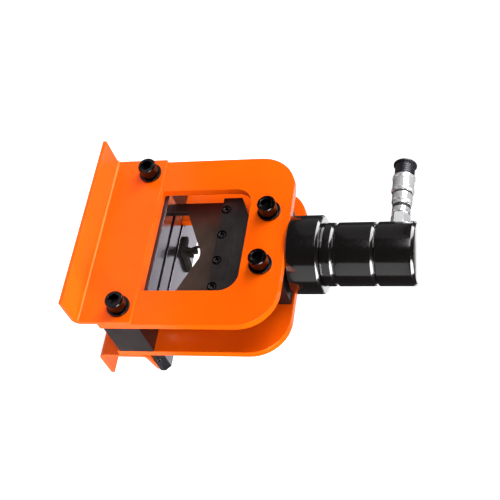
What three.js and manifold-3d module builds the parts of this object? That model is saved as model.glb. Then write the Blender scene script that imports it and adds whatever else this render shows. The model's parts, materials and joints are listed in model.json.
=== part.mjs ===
import * as THREE from 'three';
import { mergeVertices } from 'three/addons/utils/BufferGeometryUtils.js';
import Module from 'manifold-3d';

// Hydraulic busbar cutter, in millimetres, +Z up.
// The ram works down towards the floor between two upright side plates.
// X runs along the blades, Y runs through the windows from the front plate to the back plate.

const wasm = await Module();
wasm.setup();

// Clearances
const seatGap = 0.3; // between a turned or carved piece and its seat
const slideGap = 0.15; // each side of a blade that slides between flats
const runGap = 0.05; // radial, between a shaft and its bush
const boltPlay = 0.5; // radial, between a bolt and its clearance hole
const overrun = 2; // how far a cutter runs past the face it cuts

// Side plates
const plateThickness = 11;
const plateSpacing = 60;
const plateBottom = 31.2;
const plateTop = 258.1;
const plateCornerRadius = 50;

// Windows in the side plates
const windowWidth = 153;
const windowTopDrop = 54.4;
const windowUpperRadius = 24;
const windowLowerRadius = 2.5;
const frontSillDrop = 4.9; // the front window opens below the lower block's top

// Bent feet; the back one folds over at its top into the shelf of the work table
const footThickness = 5;
const footReach = 50.5;
const footBendRadius = 5;
const frontFootHeight = 76.7;
const backFootHeight = 69.7;
const shelfReach = 52.5;
const shelfTaper = 7.5;

// Lower block with its slot for the moving blade
const blockBottom = 35.9;
const blockTop = 83.3;
const blockFrontChamfer = 1;
const blockBackChamfer = 1.5;
const pocketLength = 166;
const pocketDepth = 20;
const bladeCentreY = 0;

// Moving blade
const bladeThickness = 7.8;
const bladeWidth = 164;
const bladeLegLength = 33.2;
const bladeNotchWidth = 135;
const bladeNotchEdgeDrop = 54.8;
const bladeNotchApexDrop = 23.5; // where the two slopes would meet, above the rounding
const bladeNotchRadius = 20;
const bladeTenonHeight = 22;

// Fixed blades
const fixedBladeDepth = 24.3;
const fixedBladeLength = 165.4;

// Blade holder
const holderWidth = 154;
const holderHeadGap = 3;
const holderHeight = 45;
const holderShoulderRise = 25;
const holderTopWidth = 62;
const holderThickness = 41;
const holderEdgeChamfer = 2;
const holderScrewPitch = 39;
const holderScrewRise = 5.7;

// Head block
const headWidth = 110;
const headBottomDrop = 52.1;
const headTopDrop = 2.9;

// Through bolts
const lowerBoltSpacing = 205.3;
const lowerBoltEdge = 22.35;
const lowerBoltZ = 57.2;
const upperBoltSpacing = 79;
const upperBoltDrop = 28.1;
const boltRadius = 8;
const boltHeadRadius = 12;
const boltHeadLength = 16;
const boltSocketFlats = 14;
const boltSocketDepth = 8;
const boltTipPast = 2;
const washerRadius = 15;
const washerThickness = 3;
const nutFlats = 24;
const nutHeight = 13;

// Small socket screws
const smallScrewRadius = 4;
const smallHeadRadius = 6.5;
const smallHeadLength = 8;
const smallSocketFlats = 6;
const smallSocketDepth = 4;
const smallTipGap = 2;

// Cylinder, radii and rises above the plates' top
const collarRadius = 50;
const collarRise = 41.4;
const collarUnderChamfer = 1.7;
const collarTopChamfer = 3;
const collarEdgeStep = 2;
const noseRadius = 26;
const noseDrop = 48.1;
const recessRise = 13.9;
const recessRadius = 36.3;
const glandBoreRadius = 22.3;
const barrelRadius = 40.2;
const boreRadius = 30;
const barrelSpigotRadius = 36;
const neckEdgeRise = 53.9;
const neckChamferRise = 56.9;
const edgeChamferRadius = 38.5;
const grooveRadius = 37.5;
const bodyStartRise = 59.5;
const edgeRise = 0.8;
const bodyEdgeRise = 104.2;
const bodyChamferRise = 107.5;
const capSeamRise = 108.4;
const capSpigotRadius = 35;
const capSpigotRise = 123.6;
const capStartRise = 109.6;
const capEdgeRise = 153.4;
const capChamferRise = 156.6;
const capCrownRadius = 37.7;
const cylinderRise = 157.4;
const chamberRise = 139.9;

// Seals and bush in the gland
const glandBushDrop = 4.1;
const rodSealHeight = 15.7;
const wiperHeight = 6;
const springSeatThickness = 3;

// Piston and rod
const rodRadius = 17.5;
const rodSpigotRadius = 12;
const rodSpigotLength = 22;
const pistonHeight = 20;
const restingChamberHeight = 18;
const pistonGrooveDepth = 4;
const pistonGrooveHeight = 6;

// Return spring
const springWireRadius = 2.2;
const springCurls = 7;

// Hose coupling, measured outwards from the cylinder's axis
const portRise = 131.8;
const portRadius = 6.5;
const spotFaceRadius = 14;
const spotFaceReach = 39;
const adaptorShankReach = 30.8;
const adaptorFlats = 22;
const adaptorReach = 57;
const adaptorBoreRadius = 3;
const adaptorNoseRadius = 7.5;
const adaptorNoseReach = 66;
const couplingRingReach = 75.8;
const couplingRingRadius = 13.3;
const couplingWaistRadius = 12;
const couplingGrooveShare = 0.62;
const couplingGrooveWidth = 3;
const couplingGrooveDepth = 1.2;
const sleeveStart = 91.6;
const sleeveEnd = 116;
const sleeveRadius = 15;
const sleeveBoreRadius = 10.5;
const sleeveBandWidth = 4;
const sleeveBandDepth = 0.8;
const couplingEdge = 1;
const couplingNoseRadius = 9;
const couplingNoseReach = 126;
const couplingBoreRadius = 4.5;
const poppetSpringReach = 96;
const poppetRadius = 4.4;
const poppetLength = 9;
const poppetSet = 1.5;
const poppetStemRadius = 1.6;
const poppetSpringWireRadius = 0.5;
const poppetSpringCurls = 5;
const capSleeveGap = 0.8;
const capNoseGap = 4;
const capFaceThickness = 7;
const capCollarRadius = 12.4;
const capRimRadius = 15.2;
const capRimWidth = 2;
const capRidges = 5;
const capRidgeHeight = 0.6;
const capRidgeWidth = 1.8;

// Work table on the back shelf
const tableEndSetback = 5;
const tableFarY = 94;
const tableTongueY = 34.5;
const tableEndChamfer = 7;
const tableScrewSpacingX = 180;
const tableScrewY = 70;
const endScrewY = 66;
const endScrewRadius = 3;
const endScrewLength = 8;
const endScrewDrop = 7;
const endScrewSink = 1;

// Hold-down clamp on the work table
const clampX = -39;
const clampY = 49;
const studRadius = 4;
const studTop = 106;
const studDepth = 11;
const strapThickness = 5.5;
const strapHalfWidth = 4.6;
const strapLongHalfWidth = 5.3;
const strapPointLength = 9;
const strapPivotRadius = 7;
const strapShortArm = 23;
const strapShortAngle = 187;
const strapLongArm = 38;
const strapLongAngle = 76;
const clampWasherRadius = 8;
const clampWasherThickness = 1.6;
const wingHubRadius = 6.5;
const wingHubHeight = 8;
const wingReach = 17;
const wingRise = 14;
const wingThickness = 2.6;
const wingAngle = 150;

// Facets
const wideSides = 32;
const rodSides = 24;
const boltSides = 16;
const smallSides = 10;
const arcSteps = 6;
const wireSides = 5;
const curlSteps = 8;

// Places that follow from the sizes above
const plateWidth = lowerBoltSpacing + lowerBoltEdge * 2;
const innerY = plateSpacing / 2;
const outerY = innerY + plateThickness;
const footFaceY = outerY + footThickness;
const windowTop = plateTop - windowTopDrop;
const headBottom = plateTop - headBottomDrop;
const headTop = plateTop - headTopDrop;
const upperBoltZ = plateTop - upperBoltDrop;
const noseBottom = plateTop - noseDrop;
const recessFloor = plateTop + recessRise;
const collarTop = plateTop + collarRise;
const neckEdge = plateTop + neckEdgeRise;
const neckChamferTop = plateTop + neckChamferRise;
const bodyStart = plateTop + bodyStartRise;
const bodyEdge = plateTop + bodyEdgeRise;
const bodyChamferTop = plateTop + bodyChamferRise;
const capSeam = plateTop + capSeamRise;
const capSpigotTop = plateTop + capSpigotRise;
const capBodyStart = plateTop + capStartRise;
const capEdge = plateTop + capEdgeRise;
const capChamferTop = plateTop + capChamferRise;
const cylinderTop = plateTop + cylinderRise;
const chamberTop = plateTop + chamberRise;
const glandBushTop = plateTop - glandBushDrop;
const portZ = plateTop + portRise;
const holderTop = headBottom - holderHeadGap;
const holderBottom = holderTop - holderHeight;
const holderShoulder = holderBottom + holderShoulderRise;
const holderScrewZ = holderBottom + holderScrewRise;
const bladeNotchApex = holderBottom - bladeNotchApexDrop;
const bladeNotchEdge = holderBottom - bladeNotchEdgeDrop;
const bladeLegBottom = bladeNotchEdge - bladeLegLength;
const capStart = sleeveEnd + capSleeveGap;
const capBoreReach = couplingNoseReach + capNoseGap;
const capEnd = capBoreReach + capFaceThickness;
const bladeTop = holderBottom + bladeTenonHeight;
const rodSealTop = glandBushTop + seatGap + rodSealHeight;
const pistonBottom = chamberTop - restingChamberHeight - pistonHeight;
const slotHalf = bladeThickness / 2 + slideGap;
const slotFrontY = bladeCentreY - slotHalf;
const slotBackY = bladeCentreY + slotHalf;
const fixedFrontY = slotFrontY - fixedBladeDepth;
const fixedBackY = slotBackY + fixedBladeDepth - blockBackChamfer;
const pocketFloor = blockTop - pocketDepth;
const pistonTop = pistonBottom + pistonHeight;
const springSeatTop = recessFloor + seatGap + springSeatThickness;
const tableBottom = backFootHeight;
const tableLength = plateWidth - tableEndSetback * 2;
const tableTop = blockTop;
const strapBottom = tableTop + seatGap;
const clampWasherBottom = strapBottom + strapThickness + seatGap;
const wingNutBottom = clampWasherBottom + clampWasherThickness + seatGap;

// Finishes
const orangePaint = { color: 0xff6a14, roughness: 0.35, metalness: 0.05 };
const blackGloss = { color: 0x100e10, roughness: 0.12, metalness: 0.4 };
const blackOxide = { color: 0x1c1c20, roughness: 0.35, metalness: 0.7 };
const toolSteel = { color: 0x4c4a4b, roughness: 0.3, metalness: 0.8 };
const groundSteel = { color: 0x8d8f96, roughness: 0.2, metalness: 0.9 };
const darkSteel = { color: 0x3b3a3d, roughness: 0.35, metalness: 0.7 };
const chromedSteel = { color: 0xd8d8dc, roughness: 0.15, metalness: 1 };
const bronze = { color: 0xa9793f, roughness: 0.35, metalness: 0.9 };
const rubber = { color: 0x151515, roughness: 0.7, metalness: 0 };
const blackPlastic = { color: 0x201f26, roughness: 0.4, metalness: 0 };

const machine = new THREE.Group();

// Merges the shared corners, drops empty triangles and turns the faces outwards
function closeUp(geometry) {
  const bare = geometry.clone();
  bare.deleteAttribute('normal');
  bare.deleteAttribute('uv');
  const merged = mergeVertices(bare);
  const place = merged.attributes.position;
  const corners = merged.index.array;
  const a = new THREE.Vector3();
  const b = new THREE.Vector3();
  const c = new THREE.Vector3();
  const kept = [];
  let volume = 0;
  for (let i = 0; i < corners.length; i += 3) {
    const [p, q, r] = [corners[i], corners[i + 1], corners[i + 2]];
    if (p === q || q === r || r === p) continue;
    kept.push(p, q, r);
    a.fromBufferAttribute(place, p);
    b.fromBufferAttribute(place, q);
    c.fromBufferAttribute(place, r);
    volume += a.dot(b.cross(c));
  }
  if (volume < 0) kept.reverse();
  merged.setIndex(kept);
  return merged;
}

function toSolid(geometry) {
  const closed = closeUp(geometry);
  const vertProperties = new Float32Array(closed.attributes.position.array);
  const triVerts = new Uint32Array(closed.index.array);
  return new wasm.Manifold(new wasm.Mesh({ numProp: 3, vertProperties, triVerts }));
}

function toGeometry(solid) {
  const { vertProperties, triVerts } = solid.getMesh();
  const geometry = new THREE.BufferGeometry();
  geometry.setAttribute('position', new THREE.BufferAttribute(new Float32Array(vertProperties), 3));
  geometry.setIndex(new THREE.BufferAttribute(new Uint32Array(triVerts), 1));
  return geometry;
}

function cut(body, ...cutters) {
  let solid = toSolid(body);
  for (const cutter of cutters) solid = solid.subtract(toSolid(cutter));
  return toGeometry(solid);
}

function join(...bodies) {
  let solid = toSolid(bodies[0]);
  for (const body of bodies.slice(1)) solid = solid.add(toSolid(body));
  return toGeometry(solid);
}

function box(xRange, yRange, zRange) {
  const [x, y, z] = [xRange, yRange, zRange].map(([low, high]) => ({
    size: high - low,
    middle: (low + high) / 2,
  }));
  const geometry = new THREE.BoxGeometry(x.size, y.size, z.size);
  return geometry.translate(x.middle, y.middle, z.middle);
}

// A ring or disc turned about Z from a profile of [radius, height] points
function turned(profile, sides = wideSides) {
  const points = profile.map(([radius, height]) => new THREE.Vector2(radius, height));
  const open = profile[0][0] > 0;
  if (open) points.push(points[0].clone());
  return new THREE.LatheGeometry(points, sides).rotateX(Math.PI / 2);
}

function tube(outer, inner, low, high, sides = wideSides) {
  return turned([[inner, low], [outer, low], [outer, high], [inner, high]], sides);
}

function pin(radius, low, high, sides = boltSides) {
  return turned([[0, low], [radius, low], [radius, high], [0, high]], sides);
}

// The same pin lying along Y at a given place
function crossPin(radius, x, z, low, high, sides = boltSides) {
  return alongY(pin(radius, low, high, sides)).translate(x, 0, z);
}

function hexPrism(flats, low, high) {
  const cornerRadius = flats / 2 / Math.cos(Math.PI / 6);
  return pin(cornerRadius, low, high, 6);
}

// Turns a piece made along +Z so that it points along +Y, -Y or -X
function alongY(geometry) {
  return geometry.rotateX(-Math.PI / 2);
}

function alongMinusY(geometry) {
  return geometry.rotateX(Math.PI / 2);
}

function alongMinusX(geometry) {
  return geometry.rotateY(-Math.PI / 2);
}

// Extrudes an outline drawn in X and Z along Y
function acrossY(shape, low, high) {
  const geometry = new THREE.ExtrudeGeometry(shape, {
    depth: high - low,
    bevelEnabled: false,
    curveSegments: arcSteps,
  });
  return geometry.rotateX(Math.PI / 2).translate(0, high, 0);
}

// Extrudes an outline drawn in Y and Z along X
function alongX(shape, length) {
  const geometry = new THREE.ExtrudeGeometry(shape, {
    depth: length,
    bevelEnabled: false,
    curveSegments: arcSteps,
  });
  return geometry.translate(0, 0, -length / 2).rotateX(Math.PI / 2).rotateZ(Math.PI / 2);
}

function outline(points) {
  return new THREE.Shape(points.map(([x, y]) => new THREE.Vector2(x, y)));
}

function place(name, geometry, finish) {
  const material = new THREE.MeshStandardMaterial({ ...finish, flatShading: true });
  const mesh = new THREE.Mesh(closeUp(geometry), material);
  mesh.name = name;
  machine.add(mesh);
  return mesh;
}

// A set of like pieces, numbered from 1
function placeEach(name, geometries, finish) {
  geometries.forEach((geometry, i) => place(`${name}_${i + 1}`, geometry, finish));
}

function bothSides(halfSpacing) {
  return [-halfSpacing, halfSpacing];
}

// A window outline with wide upper corners and nearly square lower ones
function windowPath(sill) {
  const half = windowWidth / 2;
  const path = new THREE.Path();
  path.moveTo(-half + windowLowerRadius, sill);
  path.lineTo(half - windowLowerRadius, sill);
  path.absarc(half - windowLowerRadius, sill + windowLowerRadius, windowLowerRadius,
    -Math.PI / 2, 0, false);
  path.lineTo(half, windowTop - windowUpperRadius);
  path.absarc(half - windowUpperRadius, windowTop - windowUpperRadius, windowUpperRadius,
    0, Math.PI / 2, false);
  path.lineTo(-half + windowUpperRadius, windowTop);
  path.absarc(-half + windowUpperRadius, windowTop - windowUpperRadius, windowUpperRadius,
    Math.PI / 2, Math.PI, false);
  path.lineTo(-half, sill + windowLowerRadius);
  path.absarc(-half + windowLowerRadius, sill + windowLowerRadius, windowLowerRadius,
    Math.PI, Math.PI * 3 / 2, false);
  return path;
}

function sidePlate(sill, low, high) {
  const half = plateWidth / 2;
  const shape = new THREE.Shape();
  shape.moveTo(-half, plateBottom);
  shape.lineTo(half, plateBottom);
  shape.lineTo(half, plateTop - plateCornerRadius);
  shape.absarc(half - plateCornerRadius, plateTop - plateCornerRadius, plateCornerRadius,
    0, Math.PI / 2, false);
  shape.lineTo(-half + plateCornerRadius, plateTop);
  shape.absarc(-half + plateCornerRadius, plateTop - plateCornerRadius, plateCornerRadius,
    Math.PI / 2, Math.PI, false);
  shape.holes.push(windowPath(sill));
  for (const x of bothSides(lowerBoltSpacing / 2)) shape.holes.push(boltHole(x, lowerBoltZ));
  for (const x of bothSides(upperBoltSpacing / 2)) shape.holes.push(boltHole(x, upperBoltZ));
  return acrossY(shape, low, high);
}

function boltHole(x, z) {
  const hole = new THREE.Path();
  hole.absarc(x, z, boltRadius + boltPlay, 0, Math.PI * 2, true);
  return hole;
}

// Section of a bent sheet that stands against a plate's outer face at y = 0 and reaches along +Y
function footSection(height, topReach) {
  const outerBend = footBendRadius + footThickness;
  const shape = new THREE.Shape();
  shape.moveTo(footReach, 0);
  shape.lineTo(footReach, footThickness);
  shape.lineTo(outerBend, footThickness);
  shape.absarc(outerBend, outerBend, footBendRadius, -Math.PI / 2, -Math.PI, true);
  if (topReach > 0) {
    shape.lineTo(footThickness, height - outerBend);
    shape.absarc(outerBend, height - outerBend, footBendRadius, Math.PI, Math.PI / 2, true);
    shape.lineTo(topReach, height - footThickness);
    shape.lineTo(topReach, height);
    shape.lineTo(outerBend, height);
    shape.absarc(outerBend, height - outerBend, outerBend, Math.PI / 2, Math.PI, false);
  } else {
    shape.lineTo(footThickness, height);
    shape.lineTo(0, height);
  }
  shape.lineTo(0, outerBend);
  shape.absarc(outerBend, outerBend, outerBend, Math.PI, Math.PI * 3 / 2, false);
  return shape;
}

function footBoltHoles(low, high) {
  return bothSides(lowerBoltSpacing / 2).map((x) => (
    crossPin(boltRadius + boltPlay, x, lowerBoltZ, low - overrun, high + overrun)
  ));
}

function frontFoot() {
  const angle = alongX(footSection(frontFootHeight, 0), plateWidth);
  angle.rotateZ(Math.PI).translate(0, -outerY, 0);
  return cut(angle, ...footBoltHoles(-footFaceY, -outerY));
}

function backFoot() {
  const channel = alongX(footSection(backFootHeight, shelfReach), plateWidth);
  channel.translate(0, outerY, 0);
  const shelfFarY = outerY + shelfReach;
  const half = plateWidth / 2;
  const shelfUnder = backFootHeight - footThickness - footBendRadius;
  const wedges = bothSides(1).map((side) => {
    const wedge = outline([
      [side * half, footFaceY],
      [side * (half + overrun), footFaceY],
      [side * (half + overrun), shelfFarY + overrun],
      [side * (half - shelfTaper), shelfFarY + overrun],
    ]);
    const depth = backFootHeight + overrun - shelfUnder;
    return new THREE.ExtrudeGeometry(wedge, { depth, bevelEnabled: false }).translate(0, 0, shelfUnder);
  });
  const screwHoles = bothSides(tableScrewSpacingX / 2).map((x) => (
    pin(smallScrewRadius + boltPlay, shelfUnder, backFootHeight + overrun, smallSides)
      .translate(x, tableScrewY, 0)
  ));
  return cut(channel, ...footBoltHoles(outerY, footFaceY), ...wedges, ...screwHoles);
}

function buildFrame() {
  place('front_plate', sidePlate(blockTop - frontSillDrop, -outerY, -innerY), orangePaint);
  place('back_plate', sidePlate(tableBottom, innerY, outerY), orangePaint);
  place('front_foot', frontFoot(), orangePaint);
  place('back_foot', backFoot(), orangePaint);
}

function fixedScrewPlaces() {
  const frontY = (fixedFrontY + slotFrontY) / 2;
  const backY = (fixedBackY + slotBackY) / 2;
  return bothSides(pocketLength / 3).flatMap((x) => [[x, frontY], [x, backY]]);
}

function lowerBlock() {
  const section = outline([
    [-innerY, blockBottom],
    [innerY, blockBottom],
    [innerY, blockTop - blockBackChamfer],
    [innerY - blockBackChamfer, blockTop],
    [-innerY + blockFrontChamfer, blockTop],
    [-innerY, blockTop - blockFrontChamfer],
  ]);
  const halfPocket = pocketLength / 2;
  const pocket = box([-halfPocket, halfPocket], [fixedFrontY - seatGap, fixedBackY + seatGap],
    [pocketFloor, blockTop + overrun]);
  const slot = box([-halfPocket, halfPocket], [slotFrontY, slotBackY],
    [blockBottom - overrun, blockTop]);
  const boltHoles = bothSides(lowerBoltSpacing / 2).map((x) => (
    crossPin(boltRadius + boltPlay, x, lowerBoltZ, -innerY - overrun, innerY + overrun)
  ));
  const screwHoles = fixedScrewPlaces().map(([x, y]) => join(
    pin(smallScrewRadius + boltPlay, blockBottom, pocketFloor + overrun, smallSides),
    pin(smallHeadRadius + boltPlay, blockBottom - overrun, blockBottom + smallHeadLength, smallSides),
  ).translate(x, y, 0));
  return cut(alongX(section, plateWidth), pocket, slot, ...boltHoles, ...screwHoles);
}

function fixedBlade(lowY, highY) {
  const half = fixedBladeLength / 2;
  const strip = box([-half, half], [lowY, highY], [pocketFloor, blockTop]);
  const holes = fixedScrewPlaces()
    .filter(([, y]) => y > lowY && y < highY)
    .map(([x, y]) => (
      pin(smallScrewRadius + seatGap, pocketFloor - overrun, pocketFloor + pocketDepth / 2, smallSides)
        .translate(x, y, 0)
    ));
  return cut(strip, ...holes);
}

// A socket-head screw along +Z, its head standing on z = 0
function socketScrew(shankRadius, shankLength, headRadius, headLength, flats, socketDepth, sides) {
  const edge = headRadius / 12;
  const body = turned([
    [0, -shankLength],
    [shankRadius, -shankLength],
    [shankRadius, 0],
    [headRadius, 0],
    [headRadius, headLength - edge],
    [headRadius - edge, headLength],
    [0, headLength],
  ], sides);
  return cut(body, hexPrism(flats, headLength - socketDepth, headLength + overrun));
}

function smallScrew(shankLength) {
  return socketScrew(smallScrewRadius, shankLength, smallHeadRadius, smallHeadLength,
    smallSocketFlats, smallSocketDepth, smallSides);
}

function fixedBladeScrews() {
  const headSeat = blockBottom + smallHeadLength;
  const shankLength = pocketFloor + pocketDepth / 2 - headSeat - smallTipGap;
  return fixedScrewPlaces().map(([x, y]) => (
    smallScrew(shankLength).rotateX(Math.PI).translate(x, y, headSeat)
  ));
}

function buildLowerTool() {
  place('lower_block', lowerBlock(), darkSteel);
  place('fixed_blade_front', fixedBlade(fixedFrontY, slotFrontY), groundSteel);
  place('fixed_blade_back', fixedBlade(slotBackY, fixedBackY), groundSteel);
  placeEach('fixed_blade_screw', fixedBladeScrews(), blackOxide);
}

function holderScrewXs() {
  return [-1.5, -0.5, 0.5, 1.5].map((share) => share * holderScrewPitch);
}

function movingBlade() {
  const half = bladeWidth / 2;
  const notchHalf = bladeNotchWidth / 2;
  const headHalf = holderWidth / 2 - holderEdgeChamfer;
  const slope = Math.atan2(bladeNotchApex - bladeNotchEdge, notchHalf);
  const roundingZ = bladeNotchApex - bladeNotchRadius / Math.cos(slope);
  const shape = outline([
    [half, bladeLegBottom],
    [half, holderBottom - seatGap],
    [headHalf, holderBottom - seatGap],
    [headHalf, bladeTop],
    [-headHalf, bladeTop],
    [-headHalf, holderBottom - seatGap],
    [-half, holderBottom - seatGap],
    [-half, bladeLegBottom],
    [-notchHalf, bladeLegBottom],
    [-notchHalf, bladeNotchEdge],
  ]);
  shape.absarc(0, roundingZ, bladeNotchRadius, Math.PI / 2 + slope, Math.PI / 2 - slope, true);
  shape.lineTo(notchHalf, bladeNotchEdge);
  shape.lineTo(notchHalf, bladeLegBottom);
  const lowY = bladeCentreY - bladeThickness / 2;
  const highY = bladeCentreY + bladeThickness / 2;
  const holes = holderScrewXs().map((x) => (
    crossPin(smallScrewRadius + boltPlay, x, holderScrewZ, lowY - overrun, highY + overrun, smallSides)
  ));
  return cut(acrossY(shape, lowY, highY), ...holes);
}

function bladeHolder() {
  const half = holderWidth / 2;
  const frontY = -holderThickness / 2;
  const backY = holderThickness / 2;
  const shape = outline([
    [-half, holderBottom],
    [half, holderBottom],
    [half, holderShoulder],
    [holderTopWidth / 2, holderTop],
    [-holderTopWidth / 2, holderTop],
    [-half, holderShoulder],
  ]);
  const slot = box([-half - overrun, half + overrun], [slotFrontY, slotBackY],
    [holderBottom - overrun, bladeTop + seatGap]);
  const rodSocket = pin(rodSpigotRadius + seatGap, holderTop - rodSpigotLength - seatGap,
    holderTop + overrun);
  const screwHoles = holderScrewXs().flatMap((x) => [
    crossPin(smallHeadRadius + boltPlay, x, holderScrewZ, frontY - overrun, frontY + smallHeadLength,
      smallSides),
    crossPin(smallScrewRadius + seatGap, x, holderScrewZ, frontY, backY - smallTipGap, smallSides),
  ]);
  return cut(acrossY(shape, frontY, backY), slot, rodSocket, ...screwHoles);
}

function bladeScrews() {
  const headSeatY = -holderThickness / 2 + smallHeadLength;
  const shankLength = holderThickness / 2 - smallTipGap * 2 - headSeatY;
  return holderScrewXs().map((x) => (
    alongMinusY(smallScrew(shankLength)).translate(x, headSeatY, holderScrewZ)
  ));
}

function pistonRod() {
  return turned([
    [0, holderTop - rodSpigotLength],
    [rodSpigotRadius, holderTop - rodSpigotLength],
    [rodSpigotRadius, holderTop],
    [rodRadius, holderTop],
    [rodRadius, pistonBottom],
    [rodSpigotRadius, pistonBottom],
    [rodSpigotRadius, pistonTop],
    [0, pistonTop],
  ], rodSides);
}

function piston() {
  const radius = boreRadius - runGap;
  const grooveBottom = pistonBottom + (pistonHeight - pistonGrooveHeight) / 2;
  const grooveTop = grooveBottom + pistonGrooveHeight;
  return turned([
    [rodSpigotRadius + seatGap, pistonBottom],
    [radius, pistonBottom],
    [radius, grooveBottom],
    [radius - pistonGrooveDepth, grooveBottom],
    [radius - pistonGrooveDepth, grooveTop],
    [radius, grooveTop],
    [radius, pistonTop],
    [rodSpigotRadius + seatGap, pistonTop],
  ]);
}

function pistonSeal() {
  const middle = pistonBottom + pistonHeight / 2;
  const half = pistonGrooveHeight / 2 - seatGap;
  return tube(boreRadius - runGap, boreRadius - pistonGrooveDepth + seatGap, middle - half, middle + half);
}

function buildRam() {
  place('moving_blade', movingBlade(), toolSteel);
  place('blade_holder', bladeHolder(), darkSteel);
  placeEach('blade_screw', bladeScrews(), blackOxide);
  place('piston_rod', pistonRod(), chromedSteel);
  place('piston', piston(), groundSteel);
  place('piston_seal', pistonSeal(), rubber);
}

function headBlock() {
  const half = headWidth / 2;
  const body = box([-half, half], [-innerY, innerY], [headBottom, headTop]);
  const noseHole = pin(noseRadius + seatGap, headBottom - overrun, headTop + overrun, wideSides);
  const boltHoles = bothSides(upperBoltSpacing / 2).map((x) => (
    crossPin(boltRadius + boltPlay, x, upperBoltZ, -innerY - overrun, innerY + overrun)
  ));
  return cut(body, noseHole, ...boltHoles);
}

function throughBolts(spacing, z, seatY, tipY) {
  return bothSides(spacing / 2).map((x) => (
    alongMinusY(socketScrew(boltRadius, seatY + tipY, boltHeadRadius, boltHeadLength,
      boltSocketFlats, boltSocketDepth, boltSides)).translate(x, -seatY, z)
  ));
}

// Rings that slip over the through bolts, standing between two Y levels
function boltRings(spacing, z, low, high) {
  const bore = boltRadius + seatGap;
  return bothSides(spacing / 2).map((x) => (
    alongY(tube(washerRadius, bore, low, high, boltSides)).translate(x, 0, z)
  ));
}

function boltNuts() {
  const low = outerY + washerThickness;
  return bothSides(upperBoltSpacing / 2).map((x) => {
    const hexagon = hexPrism(nutFlats, low, low + nutHeight);
    const bore = pin(boltRadius + seatGap, low - overrun, low + nutHeight + overrun);
    return alongY(cut(hexagon, bore)).translate(x, 0, upperBoltZ);
  });
}

function buildFasteners() {
  const lowerSeat = footFaceY + washerThickness;
  const upperSeat = outerY + washerThickness;
  const nutTop = outerY + washerThickness + nutHeight;
  const lowerBolts = throughBolts(lowerBoltSpacing, lowerBoltZ, lowerSeat, footFaceY + boltTipPast);
  const upperBolts = throughBolts(upperBoltSpacing, upperBoltZ, upperSeat, nutTop + boltTipPast);
  placeEach('lower_bolt', lowerBolts, blackOxide);
  placeEach('upper_bolt', upperBolts, blackOxide);
  const lowerWashers = boltRings(lowerBoltSpacing, lowerBoltZ, -lowerSeat, -footFaceY);
  const upperWashers = boltRings(upperBoltSpacing, upperBoltZ, -upperSeat, -outerY);
  const nutWashers = boltRings(upperBoltSpacing, upperBoltZ, outerY, upperSeat);
  placeEach('lower_washer', lowerWashers, blackOxide);
  placeEach('upper_washer', upperWashers, blackOxide);
  placeEach('nut_washer', nutWashers, blackOxide);
  placeEach('upper_nut', boltNuts(), blackOxide);
}

function cylinderCollar() {
  return turned([
    [glandBoreRadius, noseBottom],
    [noseRadius, noseBottom],
    [noseRadius, plateTop + seatGap],
    [collarRadius - collarUnderChamfer, plateTop + seatGap],
    [collarRadius, plateTop + seatGap + collarUnderChamfer],
    [collarRadius, collarTop - collarTopChamfer],
    [collarRadius - collarEdgeStep, collarTop],
    [recessRadius, collarTop],
    [recessRadius, recessFloor],
    [glandBoreRadius, recessFloor],
  ]);
}

function cylinderBarrel() {
  return turned([
    [boreRadius, recessFloor + seatGap],
    [barrelSpigotRadius, recessFloor + seatGap],
    [barrelSpigotRadius, collarTop + seatGap],
    [barrelRadius, collarTop + seatGap],
    [barrelRadius, neckEdge],
    [edgeChamferRadius, neckChamferTop],
    [grooveRadius, neckChamferTop],
    [grooveRadius, bodyStart],
    [barrelRadius, bodyStart + edgeRise],
    [barrelRadius, bodyEdge],
    [edgeChamferRadius, bodyChamferTop],
    [grooveRadius, bodyChamferTop],
    [grooveRadius, capSeam],
    [capSpigotRadius, capSeam],
    [capSpigotRadius, capSpigotTop],
    [boreRadius, capSpigotTop],
  ]);
}

function endCap() {
  const body = turned([
    [capSpigotRadius + seatGap, capSeam + seatGap],
    [grooveRadius, capSeam + seatGap],
    [grooveRadius, capBodyStart],
    [barrelRadius, capBodyStart + edgeRise],
    [barrelRadius, capEdge],
    [edgeChamferRadius, capChamferTop],
    [capCrownRadius, cylinderTop],
    [0, cylinderTop],
    [0, chamberTop],
    [boreRadius, chamberTop],
    [boreRadius, capSpigotTop + seatGap],
    [capSpigotRadius + seatGap, capSpigotTop + seatGap],
  ].reverse());
  const port = alongMinusX(pin(portRadius + seatGap, boreRadius - overrun, barrelRadius + overrun));
  const spotFace = alongMinusX(pin(spotFaceRadius, spotFaceReach, barrelRadius + overrun));
  return cut(body, port.translate(0, 0, portZ), spotFace.translate(0, 0, portZ));
}

// One unbroken coil about Z between two heights
function coil(name, meanRadius, wireRadius, curls, low, high) {
  const steps = curls * curlSteps;
  const points = [];
  for (let i = 0; i <= steps; i += 1) {
    const turn = i / curlSteps * Math.PI * 2;
    const height = low + wireRadius + (high - low - wireRadius * 2) * i / steps;
    points.push(new THREE.Vector3(Math.cos(turn) * meanRadius, Math.sin(turn) * meanRadius, height));
  }
  console.log(`${name}: least gap between curls ${leastGap(points, wireRadius).toFixed(2)} mm`);
  const section = new THREE.Shape();
  section.absarc(0, 0, wireRadius, 0, Math.PI * 2, false);
  const path = new THREE.CatmullRomCurve3(points);
  const geometry = new THREE.ExtrudeGeometry(section, {
    steps,
    extrudePath: path,
    bevelEnabled: false,
    curveSegments: wireSides / 2,
  });
  return geometry;
}

// The smallest free space between points of a wire that are at least half a curl apart
function leastGap(points, wireRadius) {
  let least = Infinity;
  points.forEach((first, i) => {
    for (const second of points.slice(i + curlSteps / 2)) {
      least = Math.min(least, first.distanceTo(second) - wireRadius * 2);
    }
  });
  return least;
}

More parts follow.
